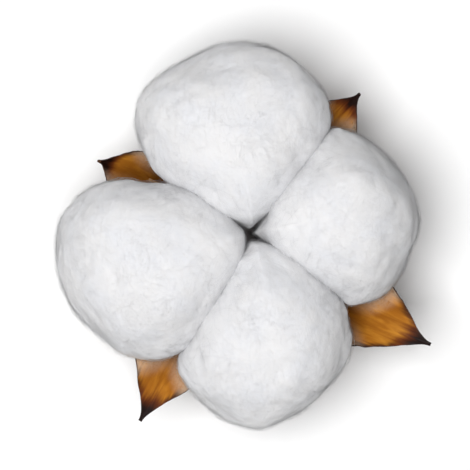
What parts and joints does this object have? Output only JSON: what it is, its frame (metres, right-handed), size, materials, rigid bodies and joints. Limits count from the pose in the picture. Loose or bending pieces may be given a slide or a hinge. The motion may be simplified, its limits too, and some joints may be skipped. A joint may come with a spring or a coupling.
{
  "type": "cotton boll",
  "caption": "Open cotton boll as picked: fluffy white locks of cotton held in a dry brown bur with pointed valves, standing on its small calyx.",
  "frame": {"origin": "middle of the small flat underside of the calyx, on which the boll stands; the cut end of the stalk is there", "axes": "+Z up along the capsule's axis, out of the open side with the cotton; +X to the right and +Y up in the picture, which looks down on the open side"},
  "size_m": [0.0658, 0.0671, 0.0453],
  "materials": {
    "cotton": "matt white fluff",
    "bur": "dry and papery, tan inside, dark brown outside and at the edges",
    "calyx": "dry, matt brown"
  },
  "bodies": {
    "root": {"bur": "bur", "calyx": "calyx", "lock_back": "cotton", "lock_left": "cotton", "lock_front": "cotton", "lock_right": "cotton"}
  },
  "joints": []
}
